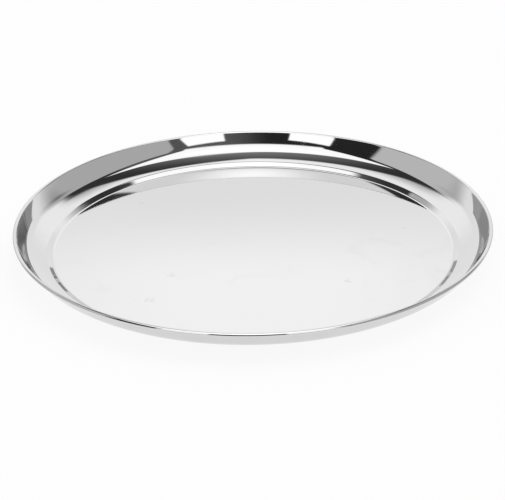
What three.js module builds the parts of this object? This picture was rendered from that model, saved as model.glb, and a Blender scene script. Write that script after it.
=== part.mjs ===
// Round serving tray: one pressing of polished steel sheet, with its edge curled round a wire hoop.
// Millimetres, +Z up. The origin is the middle of the underside, where the tray stands.

import * as THREE from 'three';

// Whole tray
const rimDiameter = 400;
const trayHeight = 24.3;
const sheetThickness = 0.7;

// From the flat base outwards. Slopes are in degrees above level, bend radii are at mid sheet.
const flareWidth = 31.4;
const stepHeight = 2.9;
const stepSlope = 32.2;
const footBendRadius = 3.8;
const shoulderBendRadius = 4;
const innerLedgeLength = 6.8;
const innerLedgeSlope = 15.9;
const ledgeBowRadius = 84;
const outerLedgeSlope = 24.2;
const coveRadius = 12.7;
const lowerWallSlope = 58.1;
const wallBowRadius = 89;
const upperWallLength = 6;
const upperWallSlope = 65.5;

// Wired edge
const wireDiameter = 1.6;
const wireClearance = 0.25;
const curlTurn = 285;

// Facets
const facetsAround = 80;
const facetsPerBend = 2;
const facetsOnCove = 6;
const facetsOnCurl = 10;
const facetsOnWire = 8;

const radians = THREE.MathUtils.degToRad;
const steps = (count) => Array.from({ length: count + 1 }, (_, index) => index / count);
const heading = (slope) => new THREE.Vector2(Math.cos(radians(slope)), Math.sin(radians(slope)));

// The curl is a ring of sheet round the wire, and its outer skin touches the rim's radius and height.
const curlInnerRadius = wireDiameter / 2 + wireClearance;
const curlMidRadius = curlInnerRadius + sheetThickness / 2;
const curlOuterRadius = curlInnerRadius + sheetThickness;
const curlCentre = new THREE.Vector2(rimDiameter / 2 - curlOuterRadius, trayHeight - curlOuterRadius);

// Corners of the sheet's middle line before they are rounded by the bends.
const baseLevel = sheetThickness / 2;
const footCorner = new THREE.Vector2(rimDiameter / 2 - flareWidth, baseLevel);
const stepRun = stepHeight / Math.tan(radians(stepSlope));
const shoulderCorner = footCorner.clone().add(new THREE.Vector2(stepRun, stepHeight));
const ledgeCorner = shoulderCorner.clone().addScaledVector(heading(innerLedgeSlope), innerLedgeLength);
const wallTop = curlCentre.clone().addScaledVector(heading(upperWallSlope + 90), curlMidRadius);
const bowCorner = wallTop.clone().addScaledVector(heading(upperWallSlope), -upperWallLength);
const coveCorner = meeting(ledgeCorner, outerLedgeSlope, bowCorner, lowerWallSlope);

// The point where two lines, each given by a point and a slope, cross.
function meeting(first, firstSlope, second, secondSlope) {
  const along = heading(firstSlope);
  const across = heading(secondSlope);
  const between = second.clone().sub(first);
  return first.clone().addScaledVector(along, between.cross(across) / along.cross(across));
}

// How far along the sheet a bend reaches from its corner.
function reach({ slopeIn, slopeOut, radius }) {
  return radius * Math.tan(radians(Math.abs(slopeOut - slopeIn) / 2));
}

// Neighbouring bends share the straight between their corners. Where it is too short for both,
// they are tightened alike, so that a little of the straight always stays.
function tightened(bends) {
  const wanted = bends.map(reach);
  const keep = (straight, taken) => Math.min(1, (0.98 * straight) / taken);
  const between = bends.slice(1).map((next, index) =>
    keep(next.corner.distanceTo(bends[index].corner), wanted[index] + wanted[index + 1]));
  const shares = [1, ...between, keep(upperWallLength, wanted.at(-1))];
  return bends.map((one, index) =>
    ({ ...one, radius: one.radius * Math.min(shares[index], shares[index + 1]) }));
}

// A bend rounds one corner between two slopes. Each point keeps the sheet's slope there.
function rounded({ corner, slopeIn, slopeOut, radius, facets }) {
  const turn = slopeOut - slopeIn;
  const start = corner.clone().addScaledVector(heading(slopeIn), -reach({ slopeIn, slopeOut, radius }));
  const side = Math.sign(turn) * 90;
  const centre = start.clone().addScaledVector(heading(slopeIn + side), radius);
  return steps(facets).map((share) => {
    const slope = slopeIn + turn * share;
    const point = centre.clone().addScaledVector(heading(slope + side), -radius);
    return { point, slope };
  });
}

// The curl carries on from the top of the wall, outwards, down and under, to just short of the wall.
function curl() {
  return steps(facetsOnCurl).map((share) => {
    const slope = upperWallSlope - curlTurn * share;
    const point = curlCentre.clone().addScaledVector(heading(slope + 90), curlMidRadius);
    return { point, slope };
  });
}

// The sheet's middle line from the axis to the free edge inside the curl.
function middleLine() {
  const bend = (corner, slopeIn, slopeOut, radius, facets) => ({ corner, slopeIn, slopeOut, radius, facets });
  const bends = tightened([
    bend(footCorner, 0, stepSlope, footBendRadius, facetsPerBend),
    bend(shoulderCorner, stepSlope, innerLedgeSlope, shoulderBendRadius, facetsPerBend),
    bend(ledgeCorner, innerLedgeSlope, outerLedgeSlope, ledgeBowRadius, facetsPerBend),
    bend(coveCorner, outerLedgeSlope, lowerWallSlope, coveRadius, facetsOnCove),
    bend(bowCorner, lowerWallSlope, upperWallSlope, wallBowRadius, facetsPerBend),
  ]);
  return [{ point: new THREE.Vector2(0, baseLevel), slope: 0 }, ...bends.flatMap(rounded), ...curl()];
}

// One skin of the sheet lies half a thickness to one side of the middle line.
function skin(line, side) {
  return line.map(({ point, slope }) =>
    point.clone().addScaledVector(heading(slope + side), sheetThickness / 2));
}

function trayPan() {
  const line = middleLine();
  const underside = skin(line, -90);
  const upperSide = skin(line, 90).reverse();
  return new THREE.LatheGeometry([...underside, ...upperSide], facetsAround);
}

// The wire hoop has the same facets round the tray as the curl, so that its clearance is even.
function rimWire() {
  const section = steps(facetsOnWire).slice(0, -1).map((share) =>
    curlCentre.clone().addScaledVector(heading(360 * share), wireDiameter / 2));
  section.push(section[0].clone());
  return new THREE.LatheGeometry(section, facetsAround);
}

const polishedSteel = new THREE.MeshStandardMaterial({
  name: 'polished_steel', color: 0xd6d7d8, roughness: 0.08, metalness: 1,
});
const drawnWire = new THREE.MeshStandardMaterial({
  name: 'drawn_wire', color: 0x9b9c9e, roughness: 0.4, metalness: 1,
});

// A lathe turns about Y, so each piece is tipped up to turn about Z.
function piece(name, geometry, material) {
  const mesh = new THREE.Mesh(geometry, material);
  mesh.name = name;
  mesh.rotation.x = Math.PI / 2;
  return mesh;
}

const tray = new THREE.Group();
tray.add(piece('tray_pan', trayPan(), polishedSteel));
tray.add(piece('rim_wire', rimWire(), drawnWire));

export default tray;
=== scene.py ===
# %% [markdown]
# # A round serving tray in polished steel
#
# The tray is one disc of steel sheet, pressed into a flat base, a small step, a gently rising ledge, a
# cove and a steep wall. Its edge is curled outwards and under, round a hoop of wire. This lesson turns
# both pieces from their sections, polishes the pan to a mirror, and stands them in a small photo studio.
# A polished tray has no colour of its own to show, so half of the work is what it mirrors.

# %% The packed model is the frame for everything that follows
import math

import bmesh
import bpy
from mathutils import Matrix, Vector


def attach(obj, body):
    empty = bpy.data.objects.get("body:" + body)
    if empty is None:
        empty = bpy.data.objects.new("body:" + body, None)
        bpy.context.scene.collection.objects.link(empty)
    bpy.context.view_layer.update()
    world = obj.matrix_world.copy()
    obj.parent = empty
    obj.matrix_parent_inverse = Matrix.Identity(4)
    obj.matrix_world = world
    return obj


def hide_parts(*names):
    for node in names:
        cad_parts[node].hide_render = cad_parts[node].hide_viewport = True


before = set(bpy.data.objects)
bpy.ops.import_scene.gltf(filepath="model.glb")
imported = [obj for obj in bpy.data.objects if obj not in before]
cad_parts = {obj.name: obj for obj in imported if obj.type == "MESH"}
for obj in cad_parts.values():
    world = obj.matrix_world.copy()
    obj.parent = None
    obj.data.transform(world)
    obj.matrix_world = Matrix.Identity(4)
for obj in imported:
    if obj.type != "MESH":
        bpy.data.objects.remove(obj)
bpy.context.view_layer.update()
scene = bpy.context.scene

# %% [markdown]
# ## The section of the sheet
#
# Every piece of a turned object is a section that goes once round an axis. The section here is the
# middle line of the sheet: straight runs joined by bends, as a press tool rounds them. A hand-drawn
# curve could follow the same line, but a polished surface shows each small error of slope as a kink in
# its reflection. So the bends are true arcs, and each point keeps the slope of the sheet there.

# %% Sizes of the section, in millimetres and degrees
rim_radius, tray_height = 200.0, 24.3
sheet = 0.7

foot = Vector((rim_radius - 31.4, sheet / 2))
step_height, step_slope = 2.9, 32.2
inner_ledge, inner_ledge_slope, outer_ledge_slope = 6.8, 15.9, 24.2
lower_wall_slope, upper_wall_slope = 58.1, 65.5
upper_wall = 6
foot_bend, shoulder_bend, cove_bend = 3.8, 4, 12.7
ledge_bow, wall_bow = 84, 89
bend_facets, cove_facets, curl_facets = 12, 30, 56

wire_radius, wire_clearance = 0.8, 0.25
curl_turn = 285
curl_radius = wire_radius + wire_clearance + sheet / 2
bead_radius = curl_radius + sheet / 2
bead = Vector((rim_radius - bead_radius, tray_height - bead_radius))
print(f"rim radius {rim_radius:.1f}, height {tray_height:.1f}, bead {2 * bead_radius:.1f} across")


# %% Straight runs meet at corners, and a bend rounds each corner
def heading(slope):
    return Vector((math.cos(math.radians(slope)), math.sin(math.radians(slope))))


def meeting(first, first_slope, second, second_slope):
    along, across = heading(first_slope), heading(second_slope)
    return first + along * ((second - first).cross(across) / along.cross(across))


def bend(corner, slope_in, slope_out, radius, facets):
    turn = slope_out - slope_in
    reach = radius * math.tan(math.radians(abs(turn) / 2))
    side = math.copysign(90, turn)
    centre = corner - heading(slope_in) * reach + heading(slope_in + side) * radius
    slopes = [slope_in + turn * step / facets for step in range(facets + 1)]
    return [(centre - heading(slope + side) * radius, slope) for slope in slopes]


shoulder = foot + Vector((step_height / math.tan(math.radians(step_slope)), step_height))
wall_top = bead + heading(upper_wall_slope + 90) * curl_radius
bow = wall_top - heading(upper_wall_slope) * upper_wall
ledge = shoulder + heading(inner_ledge_slope) * inner_ledge
cove = meeting(ledge, outer_ledge_slope, bow, lower_wall_slope)
corners = (foot, shoulder, ledge, cove, bow)
print("corners, mm:", [tuple(round(value, 2) for value in corner) for corner in corners])

# %% [markdown]
# Smooth shading averages the slopes of neighbouring faces. Where a long flat meets a bend, that average
# would tilt the whole flat. Two extra points close to the ends of each straight run keep the tilt inside
# a strip that is too narrow to see.


# %% The middle line from the axis to the free edge inside the curl
def with_guards(line, guard=0.15):
    guarded = [line[0]]
    for (start, _), (end, slope) in zip(line, line[1:]):
        run = end - start
        if run.length > 4 * guard and abs(guarded[-1][1] - slope) < 1e-6:
            guarded.append((start + run.normalized() * guard, slope))
            guarded.append((end - run.normalized() * guard, slope))
        guarded.append((end, slope))
    return guarded


middle_line = [(Vector((radius, sheet / 2)), 0) for radius in (0, 12, 50, 90, 130, 160)]
for bent in (
    (foot, 0, step_slope, foot_bend, bend_facets),
    (shoulder, step_slope, inner_ledge_slope, shoulder_bend, bend_facets),
    (ledge, inner_ledge_slope, outer_ledge_slope, ledge_bow, bend_facets),
    (cove, outer_ledge_slope, lower_wall_slope, cove_bend, cove_facets),
    (bow, lower_wall_slope, upper_wall_slope, wall_bow, bend_facets),
):
    middle_line += bend(*bent)
curl_steps = range(curl_facets + 1)
curl_slopes = [upper_wall_slope - curl_turn * step / curl_facets for step in curl_steps]
middle_line += [(bead + heading(slope + 90) * curl_radius, slope) for slope in curl_slopes]
middle_line = with_guards(middle_line)
print("points on the middle line:", len(middle_line))


# %% Both skins lie half a sheet to either side of it
def skin(line, side):
    return [point + heading(slope + side) * (sheet / 2) for point, slope in line]


pan_section = skin(middle_line, -90) + skin(middle_line, 90)[::-1]
print("points on the section:", len(pan_section))

# %% [markdown]
# ## The polish
#
# The sheet is buffed until it mirrors. What tells polished steel from a perfect mirror is small: a grey
# that swallows some of the light, hair-fine rings left by the buffing wheel, cloudy patches where it was
# wiped, a few dried drops, and a faint waviness of the pressed sheet. Underneath, the flat base is duller,
# with scuffs where it slides over tables. All of it is read from the tray's own coordinates, so that it
# stays on the metal.


# %% Small helpers for wiring a material
class Wiring:
    def __init__(self, tree):
        self.tree = tree
        self.tree.nodes.clear()

    def node(self, kind, **settings):
        made = self.tree.nodes.new(kind)
        for name, value in settings.items():
            setattr(made, name, value)
        return made

    def feed(self, socket, value):
        if isinstance(value, bpy.types.NodeSocket):
            self.tree.links.new(value, socket)
        else:
            socket.default_value = value

    def math(self, operation, *values):
        made = self.node("ShaderNodeMath", operation=operation)
        for socket, value in zip(made.inputs, values):
            self.feed(socket, value)
        return made.outputs[0]

    def ramp(self, value, start, end, first=0.0, last=1.0):
        made = self.node("ShaderNodeMapRange", interpolation_type="SMOOTHSTEP")
        names = ("Value", "From Min", "From Max", "To Min", "To Max")
        for name, number in zip(names, (value, start, end, first, last)):
            self.feed(made.inputs[name], number)
        return made.outputs[0]

    def mix(self, share, first, second):
        made = self.node("ShaderNodeMix", data_type="FLOAT")
        for name, value in (("Factor", share), ("A", first), ("B", second)):
            self.feed(made.inputs[name], value)
        return made.outputs["Result"]

    def noise(self, place, scale, detail=2.0, distortion=0.0):
        made = self.node("ShaderNodeTexNoise")
        names = ("Vector", "Scale", "Detail", "Distortion")
        for name, value in zip(names, (place, scale, detail, distortion)):
            self.feed(made.inputs[name], value)
        return made.outputs["Fac"]

    def vector(self, x, y, z):
        made = self.node("ShaderNodeCombineXYZ")
        for socket, value in zip(made.inputs, (x, y, z)):
            self.feed(socket, value)
        return made.outputs[0]

    def bump(self, height, distance, below=None):
        made = self.node("ShaderNodeBump")
        self.feed(made.inputs["Strength"], 1.0)
        self.feed(made.inputs["Distance"], distance)
        self.feed(made.inputs["Height"], height)
        if below is not None:
            self.feed(made.inputs["Normal"], below)
        return made.outputs[0]


print("wiring helpers:", [name for name in vars(Wiring) if not name.startswith("__")])


# %% Where a point lies on the tray: out from the axis, and round it
def turned_place(wiring):
    place = wiring.node("ShaderNodeTexCoord").outputs["Object"]
    split = wiring.node("ShaderNodeSeparateXYZ")
    wiring.feed(split.inputs[0], place)
    x, y, z = split.outputs
    squares = wiring.math("ADD", wiring.math("MULTIPLY", x, x), wiring.math("MULTIPLY", y, y))
    radius = wiring.math("SQRT", squares)
    safe_radius = wiring.math("MAXIMUM", radius, 0.001)
    cosine = wiring.math("DIVIDE", x, safe_radius)
    sine = wiring.math("DIVIDE", y, safe_radius)
    return place, radius, cosine, sine, z


# %% Polished steel
polished_steel = bpy.data.materials.new("polished_steel")
polished_steel.use_nodes = True
polish = Wiring(polished_steel.node_tree)
place, radius, cosine, sine, height = turned_place(polish)

clouds = polish.noise(place, 11, 3, 0.6)
wiped = polish.ramp(polish.noise(place, 17, 4, 1.4), 0.56, 0.72)
rings = polish.noise(polish.vector(polish.math("MULTIPLY", radius, 2600), cosine, sine), 1.0, 2)
underneath = polish.ramp(height, 0.0002, 0.0001)
scuffs = polish.ramp(polish.noise(place, 260, 3, 2.0), 0.52, 0.7)
worn = polish.math("MULTIPLY", underneath, polish.ramp(radius, 0.10, 0.168))
worn_scuffs = polish.math("MULTIPLY", worn, scuffs)

dried_drops = 0.0
for x, y, reach in (
    (-0.0985, 0.090, 0.0032),
    (-0.067, -0.053, 0.005),
    (-0.083, -0.097, 0.006),
    (0.0765, -0.069, 0.0045),
    (0.130, 0.029, 0.0022),
):
    apart = polish.node("ShaderNodeVectorMath", operation="DISTANCE")
    polish.feed(apart.inputs[0], place)
    polish.feed(apart.inputs[1], (x, y, sheet / 1000))
    drop = polish.ramp(apart.outputs["Value"], reach, 0.2 * reach)
    dried_drops = polish.math("ADD", drop, dried_drops)
dried_drops = polish.math("MULTIPLY", dried_drops, polish.ramp(polish.noise(place, 320, 2), 0.35, 0.6))
dried_drops = polish.math("MULTIPLY", dried_drops, polish.math("SUBTRACT", 1.0, underneath))

gloss = polish.ramp(clouds, 0.3, 0.75, 0.028, 0.05)
for marks, roughened in (
    (dried_drops, 0.05),
    (wiped, 0.022),
    (rings, 0.012),
    (underneath, 0.1),
    (worn_scuffs, 0.16),
):
    gloss = polish.math("ADD", gloss, polish.math("MULTIPLY", marks, roughened))

clean_grey, wiped_grey = 0.615, 0.6
tint = polish.mix(wiped, clean_grey, wiped_grey)
for marks, darkened in ((dried_drops, 0.08), (worn_scuffs, 0.07)):
    tint = polish.math("SUBTRACT", tint, polish.math("MULTIPLY", marks, darkened))
steel_colour = polish.node("ShaderNodeCombineColor")
for socket in steel_colour.inputs:
    polish.feed(socket, tint)

waves = polish.bump(polish.noise(place, 7, 1), 0.00004)
ring_bump = polish.bump(rings, 0.0000006, waves)

steel = polish.node("ShaderNodeBsdfPrincipled")
steel.inputs["Metallic"].default_value = 1.0
polish.feed(steel.inputs["Base Color"], steel_colour.outputs[0])
polish.feed(steel.inputs["Roughness"], gloss)
polish.feed(steel.inputs["Normal"], ring_bump)
finish = polish.node("ShaderNodeOutputMaterial")
polish.feed(finish.inputs["Surface"], steel.outputs[0])
print("polished steel:", len(polished_steel.node_tree.nodes), "nodes")

# %% [markdown]
# ## Turning the pan
#
# A potter's wheel in nodes: the section becomes a curve, and Curve to Mesh carries it once round a
# circle of the rim's radius. Spinning the section with a modifier would do the same, but the tree keeps
# its sizes as named inputs, and the wire hoop can use it too. Merge by Distance closes the two poles
# on the axis, where all the copies of the first and the last point meet.


# %% The tree that carries a section round the axis
def add_inputs(tree, sockets):
    for name, kind in sockets:
        tree.interface.new_socket(name, in_out="INPUT", socket_type=kind)
    tree.interface.new_socket("Turned piece", in_out="OUTPUT", socket_type="NodeSocketGeometry")


def chain(tree, *sockets):
    for start, end in zip(sockets[::2], sockets[1::2]):
        tree.links.new(start, end)


turning = bpy.data.node_groups.new("turned about the axis", "GeometryNodeTree")
add_inputs(turning, (
    ("Section", "NodeSocketGeometry"),
    ("Path radius", "NodeSocketFloat"),
    ("Steps round", "NodeSocketInt"),
    ("Finish", "NodeSocketMaterial"),
))
new = turning.nodes.new
entry, leave = new("NodeGroupInput"), new("NodeGroupOutput")
section_curve, path = new("GeometryNodeMeshToCurve"), new("GeometryNodeCurvePrimitiveCircle")
upright, turn_round = new("GeometryNodeSetCurveNormal"), new("GeometryNodeCurveToMesh")
close_poles, smooth = new("GeometryNodeMergeByDistance"), new("GeometryNodeSetShadeSmooth")
realize, paint = new("GeometryNodeRealizeInstances"), new("GeometryNodeSetMaterial")
upright.mode = "Z_UP"
close_poles.inputs["Distance"].default_value = 0.000001
chain(
    turning,
    entry.outputs["Section"], section_curve.inputs["Mesh"],
    entry.outputs["Path radius"], path.inputs["Radius"],
    entry.outputs["Steps round"], path.inputs["Resolution"],
    path.outputs["Curve"], upright.inputs["Curve"],
    upright.outputs["Curve"], turn_round.inputs["Curve"],
    section_curve.outputs["Curve"], turn_round.inputs["Profile Curve"],
    turn_round.outputs["Mesh"], close_poles.inputs["Geometry"],
    close_poles.outputs["Geometry"], smooth.inputs["Geometry"],
    smooth.outputs["Geometry"], realize.inputs["Geometry"],
    realize.outputs["Geometry"], paint.inputs["Geometry"],
    entry.outputs["Finish"], paint.inputs["Material"],
    paint.outputs["Geometry"], leave.inputs["Turned piece"],
)
print("turning tree:", len(turning.nodes), "nodes")


# %% Turn a section, and keep the result as a plain closed mesh
def turned(name, section, closed, path_radius, steps_round, finish):
    corners = [(point.x - path_radius, -point.y, 0) for point in section]
    corners = [tuple(0.001 * value for value in corner) for corner in corners]
    edges = [(index, index + 1) for index in range(len(corners) - 1)]
    if closed:
        edges.append((len(corners) - 1, 0))
    drawing = bpy.data.meshes.new(name)
    drawing.from_pydata(corners, edges, [])
    piece = bpy.data.objects.new(name, drawing)
    scene.collection.objects.link(piece)

    wheel = piece.modifiers.new("wheel", "NODES")
    wheel.node_group = turning
    values = {"Path radius": 0.001 * path_radius, "Steps round": steps_round, "Finish": finish}
    for socket in turning.interface.items_tree:
        if socket.name in values:
            wheel[socket.identifier] = values[socket.name]

    shaped = piece.evaluated_get(bpy.context.evaluated_depsgraph_get())
    piece.data = bpy.data.meshes.new_from_object(shaped)
    piece.modifiers.clear()
    outwards(piece.data)
    return piece


def outwards(mesh):
    sides = bmesh.new()
    sides.from_mesh(mesh)
    bmesh.ops.recalc_face_normals(sides, faces=sides.faces)
    if sides.calc_volume(signed=True) < 0:
        bmesh.ops.reverse_faces(sides, faces=sides.faces)
    open_edges = sum(not edge.is_manifold for edge in sides.edges)
    triangles = sum(len(face.verts) - 2 for face in sides.faces)
    volume = sides.calc_volume(signed=True)
    sides.to_mesh(mesh)
    sides.free()
    print(f"{mesh.name}: {triangles} triangles, {open_edges} open edges, {volume * 1e6:.2f} cm3")


steps_round = 256
tray_pan = turned("pressed_pan", pan_section, False, rim_radius, steps_round, polished_steel)
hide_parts("tray_pan")
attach(tray_pan, "root")

# %% [markdown]
# ## The wire in the rim
#
# A hoop of drawn wire lies inside the curl and keeps the thin edge stiff. It can only be glimpsed from
# below, through the slit that the curl leaves, but it is a piece of its own, so it is made as one. Its
# section is a plain circle, and the same tree turns it. Drawing leaves fine scratches along the wire.

# %% Drawn wire
drawn_wire = bpy.data.materials.new("drawn_wire")
drawn_wire.use_nodes = True
drawing_marks = Wiring(drawn_wire.node_tree)
place, radius, cosine, _, height = turned_place(drawing_marks)
across_wire = drawing_marks.vector(
    drawing_marks.math("MULTIPLY", radius, 9000),
    drawing_marks.math("MULTIPLY", height, 9000),
    drawing_marks.math("MULTIPLY", cosine, 6),
)
scratches = drawing_marks.noise(across_wire, 1.0, 3)
dull_patches = drawing_marks.noise(place, 40, 2)

wire_colour = drawing_marks.node("ShaderNodeCombineColor")
grey = drawing_marks.ramp(dull_patches, 0.3, 0.7, 0.31, 0.37)
for socket in wire_colour.inputs:
    drawing_marks.feed(socket, grey)
wire_steel = drawing_marks.node("ShaderNodeBsdfPrincipled")
wire_steel.inputs["Metallic"].default_value = 1.0
drawing_marks.feed(wire_steel.inputs["Base Color"], wire_colour.outputs[0])
drawing_marks.feed(wire_steel.inputs["Roughness"], drawing_marks.ramp(scratches, 0.3, 0.7, 0.28, 0.42))
drawing_marks.feed(wire_steel.inputs["Normal"], drawing_marks.bump(scratches, 0.000006))
wire_finish = drawing_marks.node("ShaderNodeOutputMaterial")
drawing_marks.feed(wire_finish.inputs["Surface"], wire_steel.outputs[0])
print("drawn wire:", len(drawn_wire.node_tree.nodes), "nodes")

# %% The hoop
wire_facets = 20
wire_section = [bead + heading(360 * step / wire_facets) * wire_radius for step in range(wire_facets)]
rim_wire = turned("wire_hoop", wire_section, True, bead.x, steps_round, drawn_wire)
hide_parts("rim_wire")
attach(rim_wire, "root")

# %% [markdown]
# ## The camera
#
# The rim is an ellipse in the picture, and its two axes give the camera's height above the tray. The near
# half is a little fuller than the far half, which gives the distance, and the ellipse leans by a degree.
# A long lens from one and a half metres fits all three.

# %% A long lens, a little over a quarter of the way up
camera_height_angle, camera_lean = math.radians(25.74), math.radians(-0.97)
camera_distance = 1.5
towards_camera = Vector((0, -math.cos(camera_height_angle), math.sin(camera_height_angle)))
camera_place = camera_distance * towards_camera
camera_aim = Vector((-0.00054, 0, -0.0036))
lens_data = bpy.data.cameras.new("camera")
lens_data.sensor_fit = "HORIZONTAL"
lens_data.sensor_width = 36
lens_data.lens = 126.741
camera = bpy.data.objects.new("camera", lens_data)
scene.collection.objects.link(camera)
look = (camera_aim - camera_place).to_track_quat("-Z", "Y").to_matrix().to_4x4()
camera.matrix_world = Matrix.Translation(camera_place) @ look @ Matrix.Rotation(camera_lean, 4, "Z")
scene.camera = camera
print(f"lens {lens_data.lens:.1f} mm")

# %% [markdown]
# ## The floor
#
# The tray stands on a white sheet. It is pale paper in its own colour, and where it is seen it is lifted
# most of the way to plain white, so that only a faint shadow is left on it. For the camera it runs on out
# of sight. In the mirrored rays it is a little brighter, and it ends a hand's breadth beyond the rim, with
# a dark table round it: that draws the thin dark line along the bead. From below it is clear, so that the
# underside can be looked at.

# %% White paper
floor_paper = bpy.data.materials.new("white_paper")
floor_paper.use_nodes = True
paper = Wiring(floor_paper.node_tree)
ray = paper.node("ShaderNodeLightPath")
away = turned_place(paper)[1]
paper_grey, table_grey = 0.9, 0.04
paper_end, table_start = 0.27, 0.36
lift_to_white, lift_when_mirrored = 0.88, 0.1
seen_past = paper.math("MAXIMUM", ray.outputs["Is Camera Ray"], ray.outputs["Is Transmission Ray"])
off_paper = paper.ramp(away, paper_end, table_start)
mirrored_dark = paper.math("MULTIPLY", ray.outputs["Is Glossy Ray"], off_paper)
mirrored_white = paper.math("SUBTRACT", ray.outputs["Is Glossy Ray"], mirrored_dark)
seen = paper.math("MAXIMUM", seen_past, mirrored_white)
paper_colour = paper.node("ShaderNodeCombineColor")
for socket in paper_colour.inputs:
    paper.feed(socket, paper.mix(mirrored_dark, paper_grey, table_grey))
matt = paper.node("ShaderNodeBsdfDiffuse")
paper.feed(matt.inputs["Color"], paper_colour.outputs[0])
white = paper.node("ShaderNodeEmission")
mirrored_lift = paper.math("MULTIPLY", ray.outputs["Is Glossy Ray"], lift_when_mirrored)
paper.feed(white.inputs["Strength"], paper.math("ADD", mirrored_lift, 1.0))
lifted, sided = paper.node("ShaderNodeMixShader"), paper.node("ShaderNodeMixShader")
paper.feed(lifted.inputs[0], paper.math("MULTIPLY", seen, lift_to_white))
paper.feed(lifted.inputs[1], matt.outputs[0])
paper.feed(lifted.inputs[2], white.outputs[0])
paper.feed(sided.inputs[0], paper.node("ShaderNodeNewGeometry").outputs["Backfacing"])
paper.feed(sided.inputs[1], lifted.outputs[0])
paper.feed(sided.inputs[2], paper.node("ShaderNodeBsdfTransparent").outputs[0])
paper.feed(paper.node("ShaderNodeOutputMaterial").inputs["Surface"], sided.outputs[0])

sheet_shape = bmesh.new()
bmesh.ops.create_grid(sheet_shape, x_segments=4, y_segments=4, size=8)
bmesh.ops.translate(sheet_shape, verts=sheet_shape.verts, vec=(0, 0, -0.0002))
floor_mesh = bpy.data.meshes.new("floor")
sheet_shape.to_mesh(floor_mesh)
sheet_shape.free()
floor_mesh.materials.append(floor_paper)
floor = bpy.data.objects.new("floor", floor_mesh)
scene.collection.objects.link(floor)
print("floor:", len(floor_mesh.polygons), "faces")

# %% [markdown]
# ## The studio that the tray mirrors
#
# The shape of a mirror is only seen through what it reflects. This studio has the usual things: a white
# backdrop, a large soft light overhead, a grey flat on each side, and two tall light boxes to the left and
# right of the camera, with darkness between them. They could be built as objects, but then they would
# stand in the way of other views. So they are drawn on the sky: mirrored rays see them, the camera sees
# plain white, and everything else is lit at one even level.

# %% Directions in the sky
studio = bpy.data.worlds.new("studio")
studio.use_nodes = True
scene.world = studio
sky = Wiring(studio.node_tree)
direction = sky.node("ShaderNodeSeparateXYZ")
sky.feed(direction.inputs[0], sky.node("ShaderNodeTexCoord").outputs["Generated"])
to_right, to_back, upwards = direction.outputs
to_front = sky.math("MULTIPLY", to_back, -1.0)
degrees = 180 / math.pi
climb = sky.math("MULTIPLY", sky.math("ARCSINE", upwards), degrees)
from_front = sky.math("MULTIPLY", sky.math("ARCTAN2", to_right, to_front), degrees)
from_back = sky.math("MULTIPLY", sky.math("ARCTAN2", to_right, to_back), degrees)
off_back = sky.math("ABSOLUTE", from_back)
print("sky: climb and turn are measured in degrees, turn 0 is behind the camera")


# %% A card in the sky: a mask with soft edges, painted over what is there
def inside(value, low_edge, high_edge, soft):
    above = sky.math("SUBTRACT", value, low_edge)
    below = sky.math("SUBTRACT", high_edge, value)
    return sky.ramp(sky.math("MINIMUM", above, below), -soft / 2, soft / 2)


def both(first, second):
    return sky.math("MULTIPLY", first, second)


def sloping(value, slope, level):
    return sky.math("ADD", sky.math("MULTIPLY", value, slope), level)


def rounded(across, left, right, up, top, corner, soft):
    middle, half = (left + right) / 2, (right - left) / 2
    aside = sky.math("SUBTRACT", sky.math("ABSOLUTE", sky.math("SUBTRACT", across, middle)), half - corner)
    above = sky.math("SUBTRACT", up, sky.math("SUBTRACT", top, corner))
    aside_out, above_out = sky.math("MAXIMUM", aside, 0.0), sky.math("MAXIMUM", above, 0.0)
    round_out = sky.math("SQRT", sky.math("ADD", both(aside_out, aside_out), both(above_out, above_out)))
    within = sky.math("MINIMUM", sky.math("MAXIMUM", aside, above), 0.0)
    edge = sky.math("SUBTRACT", sky.math("ADD", round_out, within), corner)
    return sky.ramp(edge, soft / 2, -soft / 2)


# %% [markdown]
# The next cells place the cards. Edges of the backdrop and of the light boxes are degrees of climb and
# turn. Edges of the flats and of the soft light lie on planes one step away, at the side and overhead.
# Levels are shares of plain white.

# %% The dark room, a little lighter to the right of the camera and between backdrop and soft light
room = sky.ramp(from_front, -12, 14, 0.026, 0.13)
room = sky.mix(sky.ramp(off_back, 80, 60), room, sky.ramp(climb, 52, 76, 0.045, 0.289))
print("room: from 0.03 to 0.29 of white")

# %% The grey flats at the sides, seen on upright planes, with painted shade that darkens them towards their far ends
right_side = sky.math("MAXIMUM", to_right, 0.02)
left_side = sky.math("MAXIMUM", sky.math("MULTIPLY", to_right, -1.0), 0.02)
right_along, right_up = sky.math("DIVIDE", to_back, right_side), sky.math("DIVIDE", upwards, right_side)
left_along, left_up = sky.math("DIVIDE", to_back, left_side), sky.math("DIVIDE", upwards, left_side)
right_top = sky.math("MAXIMUM", sloping(right_along, 0.3, 1.24), 1.0)
right_top = sky.math("MINIMUM", right_top, sloping(right_along, -0.18, 1.56))
left_top = sloping(left_along, 0.36, 1.07)
right_flat = rounded(right_along, -1.05, 1.98, right_up, right_top, 0.06, 0.06)
left_flat = rounded(left_along, -0.375, 2.14, left_up, left_top, 0.3, 0.06)
# Painted shade on the flats: their grey level falls towards the far ends, low down from 68 degrees off the
# back and at any height from 48.
low_end_shade = both(sky.ramp(off_back, 68, 55), sky.ramp(climb, 38, 26))
flat_end_shade = sky.math("MAXIMUM", low_end_shade, sky.ramp(off_back, 48, 40))
right_shaded_grey, left_shaded_grey = sloping(flat_end_shade, -0.4, 0.605), sloping(flat_end_shade, -0.13, 0.735)
print("flats: 44 to 153 degrees round on the right, 69 to 155 on the left")

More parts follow.
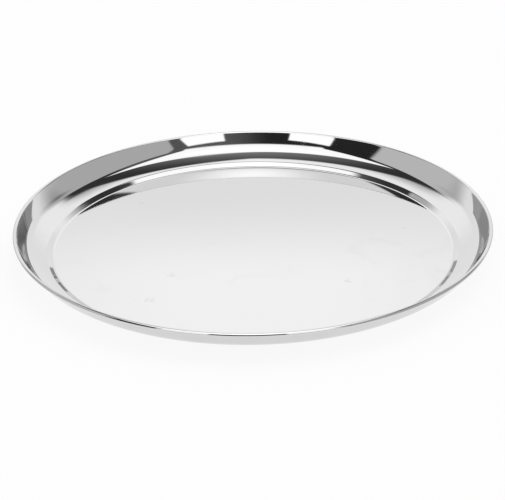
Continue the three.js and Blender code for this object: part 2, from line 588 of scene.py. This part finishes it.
# %% The white backdrop: wide and soft low down, narrower and sharper higher up
to_the_right = sky.ramp(from_back, -1, 1)
low_edge = sky.mix(to_the_right, sloping(climb, -0.6, 58.0), sloping(climb, -0.75, 64.5))
low_within = sky.math("SUBTRACT", low_edge, off_back)
low_softness = sky.mix(to_the_right, 8.0, 14.0)
low_side = sky.ramp(sky.math("DIVIDE", low_within, low_softness), -1, 1)
low_full = sky.mix(to_the_right, 32.0, 38.5)
low_part = both(low_side, sky.ramp(climb, 42.7, low_full))
tall_edge = sky.mix(to_the_right, 24.8, 22.8)
within_edge = sky.math("SUBTRACT", tall_edge, off_back)
left_top_edge = sloping(both(off_back, off_back), -0.018, 60.3)
right_top_edge = sloping(off_back, -0.58, 60.3)
top_edge = sky.math("MAXIMUM", sky.mix(to_the_right, left_top_edge, right_top_edge), 44)
below_top = sky.math("SUBTRACT", top_edge, climb)
tall_part = both(sky.ramp(within_edge, -1.8, 1.8), sky.ramp(below_top, -1.2, 1.5))
backdrop = sky.math("MAXIMUM", low_part, tall_part)
backdrop_middle = sky.ramp(climb, 23.9, 26.9, 1.115, 1.385)
backdrop_sides = sky.ramp(climb, 20, 31, 1.125, 1.287)
backdrop_white = sky.mix(sky.ramp(off_back, 2, 12), backdrop_middle, backdrop_sides)
backdrop_shade = sky.ramp(within_edge, 0, 11, sky.ramp(climb, 36, 44, 1.0, 0.55), 1.0)
backdrop_white = both(backdrop_white, backdrop_shade)
print("backdrop: low part up to 43 degrees, tall part up to 60")

# %% Two light boxes beside the camera, and the soft light overhead
right_lean = sloping(climb, -0.2, 42.4)
right_box = both(inside(from_front, 14.5, right_lean, 1.2), inside(climb, -5, 34.8, 1.5))
left_box = both(inside(from_front, -43.8, -20.4, 1.2), inside(climb, -5, 33.9, 1.5))
over = sky.math("MAXIMUM", upwards, 0.02)
over_right, over_back = sky.math("DIVIDE", to_right, over), sky.math("DIVIDE", to_back, over)
off_lamp = sky.math("ADD", over_back, 0.25)
front_edge = sloping(both(over_right, over_right), 0.25, -1.19)
left_edge = sloping(over_back, 0.15, -0.718)
right_edge = sloping(over_back, -0.22, 0.585)
back_edge = sloping(both(over_right, sloping(over_right, 0.51, 0.33)), 1.0, 0.322)
between_sides = inside(over_right, left_edge, right_edge, 0.05)
between_ends = inside(over_back, front_edge, back_edge, 0.06)
soft_light = both(between_sides, between_ends)
from_lamp = sky.math("SQRT", sky.math("ADD", both(over_right, over_right), both(off_lamp, off_lamp)))
soft_white = sky.ramp(from_lamp, 0.0, 0.45, 2.4, 1.56)
print("lights: two boxes up to 34 degrees, and one soft light overhead")

# %% Paint the cards into the room, and choose what each kind of ray sees
box_white, even_light = 1.65, 0.8
mirrored = room
for mask, level in (
    (right_flat, right_shaded_grey),
    (left_flat, left_shaded_grey),
    (backdrop, backdrop_white),
    (right_box, box_white),
    (left_box, box_white),
    (soft_light, soft_white),
):
    mirrored = sky.mix(mask, mirrored, level)
ray = sky.node("ShaderNodeLightPath")
sees_cards = sky.math("MAXIMUM", ray.outputs["Is Glossy Ray"], ray.outputs["Is Transmission Ray"])
level = sky.mix(sees_cards, even_light, mirrored)
level = sky.mix(ray.outputs["Is Camera Ray"], level, 1.0)
glow = sky.node("ShaderNodeBackground")
glow.inputs["Color"].default_value = (1, 1, 1, 1)
sky.feed(glow.inputs["Strength"], level)
sky.feed(sky.node("ShaderNodeOutputWorld").inputs["Surface"], glow.outputs[0])
print("studio:", len(studio.node_tree.nodes), "nodes")

# %% [markdown]
# One broad lamp from the back right gives the faint shadow its direction. It is kept out of the mirrored
# rays, because the soft light overhead already stands for it there.

# %% The lamp for the shadow
lamp_data = bpy.data.lights.new("soft key", "SUN")
lamp_data.energy = 0.7
lamp_data.angle = math.radians(50)
lamp = bpy.data.objects.new("soft key", lamp_data)
scene.collection.objects.link(lamp)
lamp.rotation_euler = Vector((0.35, 0.3, 1)).to_track_quat("Z", "Y").to_euler()
lamp.visible_glossy = False
scene.view_settings.view_transform = "Standard"
print("lamp:", round(lamp_data.energy, 2), "over", round(math.degrees(lamp_data.angle)), "degrees")

# %% [markdown]
